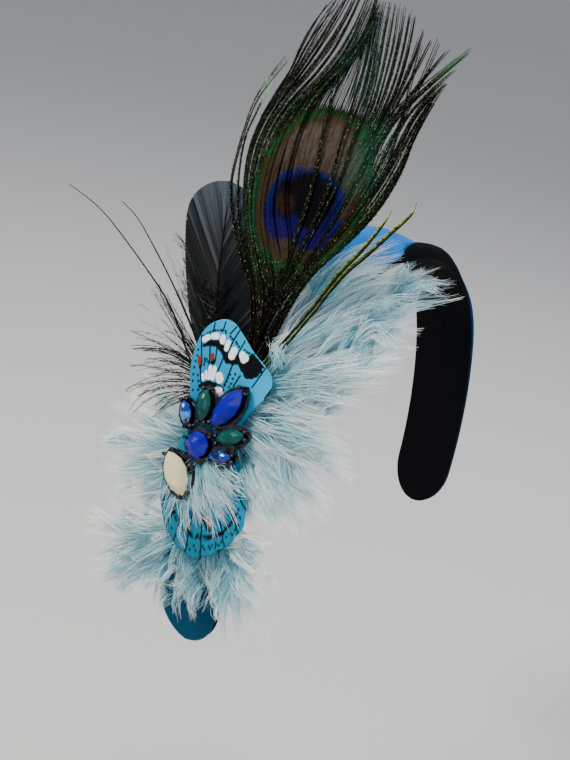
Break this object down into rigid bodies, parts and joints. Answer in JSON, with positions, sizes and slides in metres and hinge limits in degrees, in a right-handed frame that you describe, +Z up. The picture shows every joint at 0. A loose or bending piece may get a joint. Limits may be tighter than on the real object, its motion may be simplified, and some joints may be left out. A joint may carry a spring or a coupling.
{
  "type": "feather headband",
  "caption": "Curved satin head band trimmed on one arm with feathers, downy plumes, a printed silk butterfly and a jewelled brooch.",
  "frame": {"origin": "middle of the band's inner face at the crown, where it sits on the head", "axes": "+Z up, away from the head at the crown; +X towards the trimmed arm, worn over the right ear; +Y towards the face"},
  "size_m": [0.1796, 0.1315, 0.2196],
  "materials": {
    "black_lining": "black velvet lining over a sprung plastic core",
    "blue_satin": "azure satin ribbon, glossy along the weave",
    "gunmetal": "black plated cast metal, claws with ball tips",
    "cobalt_stone": "opaque cobalt resin stone, faceted",
    "green_stone": "opaque emerald green resin stone, faceted",
    "sapphire_stone": "clear sapphire blue stone, foiled back",
    "cream_stone": "milky cream resin stone",
    "printed_silk": "stiffened silk printed in cyan with black veins",
    "peacock_barbs": "peacock eye feather, iridescent",
    "black_vane": "black goose feather, soft sheen",
    "black_fluff": "black down barbs",
    "pale_marabou": "pale blue marabou down"
  },
  "bodies": {
    "root": {"base_band": "black_lining", "satin_cover": "blue_satin", "brooch_setting": "gunmetal", "cobalt_navette": "cobalt_stone", "cobalt_point": "cobalt_stone", "green_navette_upper": "green_stone", "green_navette_front": "green_stone", "sapphire_navette_back": "sapphire_stone", "sapphire_navette_low": "sapphire_stone", "cream_navette": "cream_stone", "butterfly": "printed_silk", "peacock_feather": "peacock_barbs", "peacock_sword_barbs": "peacock_barbs", "black_feather": "black_vane", "black_fluff": "black_fluff", "black_quill_long": "black_fluff", "black_quill_short": "black_fluff", "marabou_crown": "pale_marabou", "marabou_curl": "pale_marabou", "marabou_front": "pale_marabou", "marabou_back": "pale_marabou", "marabou_low_back": "pale_marabou", "marabou_low": "pale_marabou", "marabou_low_front": "pale_marabou", "marabou_over_wing": "pale_marabou"}
  },
  "joints": []
}
